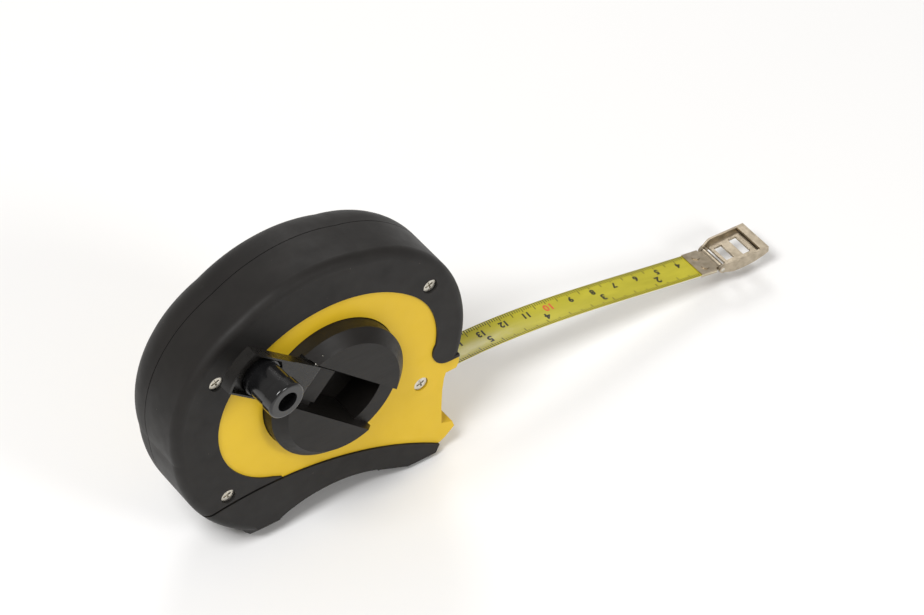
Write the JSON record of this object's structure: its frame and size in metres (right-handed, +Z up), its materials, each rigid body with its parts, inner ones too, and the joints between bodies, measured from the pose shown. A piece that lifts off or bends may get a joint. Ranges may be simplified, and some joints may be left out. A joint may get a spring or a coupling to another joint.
{
  "type": "tape_measure",
  "caption": "Closed-case tape measure with a yellow and black rubber-covered case, fold-out winding crank, drawn-out steel blade and hinged end hook",
  "frame": {"origin": "on the standing plane, straight below the hub axis, on the parting plane of the two case halves", "axes": "+X the way the blade leaves the mouth, +Y from the crank side to the back, +Z up"},
  "size_m": [0.2639, 0.0608, 0.1147],
  "materials": {
    "yellow_plastic": "satin moulded",
    "black_rubber": "matt",
    "black_plastic": "semi-matt moulded",
    "gloss_black": "glossy moulded",
    "zinc_steel": "zinc plated",
    "warm_steel": "pressed, satin nickel",
    "blade_paint": "yellow enamel with printed scale"
  },
  "bodies": {
    "case": {"front_shell": "yellow_plastic", "rear_shell": "yellow_plastic", "front_overmould": "black_rubber", "rear_overmould": "black_rubber", "front_grip": "black_rubber", "rear_grip": "black_rubber", "case_screws": "zinc_steel", "blade_guide": "black_plastic", "spindle": "zinc_steel", "spindle_washer": "zinc_steel", "spindle_screw": "zinc_steel", "rear_cap": "black_plastic"},
    "reel": {"reel_drum": "black_plastic", "reel_plate": "black_plastic", "reel_screws": "zinc_steel", "crank_disc": "black_plastic", "crank_pin": "zinc_steel", "blade_coil": "blade_paint", "blade_anchor": "zinc_steel"},
    "crank_arm": {"crank_arm": "gloss_black", "knob_washer": "zinc_steel", "knob_screw": "zinc_steel"},
    "knob": {"knob": "gloss_black"},
    "blade": {"blade": "blade_paint", "blade_clip": "warm_steel", "clip_rivets": "warm_steel", "hook_pin": "zinc_steel"},
    "hook": {"hook": "warm_steel"}
  },
  "joints": [
    {"name": "reel_spin", "type": "hinge", "parent": "case", "child": "reel", "pos_m": [0, 0, 0.0603], "axis": [0, 1, 0], "continuous": true},
    {"name": "crank_fold", "type": "hinge", "parent": "reel", "child": "crank_arm", "pos_m": [-0.01497, -0.0252, 0.07401], "axis": [0.6756, 0, 0.7373], "range_deg": [0, 173]},
    {"name": "knob_spin", "type": "hinge", "parent": "crank_arm", "child": "knob", "pos_m": [-0.03399, -0.02837, 0.09145], "axis": [0.0899, -0.9925, -0.0823], "continuous": true},
    {"name": "blade_draw", "type": "slide", "parent": "case", "child": "blade", "axis": [1, 0, 0], "range_m": [-0.02, 0.03]},
    {"name": "hook_hinge", "type": "hinge", "parent": "blade", "child": "hook", "pos_m": [0.18069, 0, 0.00933], "axis": [0, 1, 0], "range_deg": [-70, 80]}
  ]
}
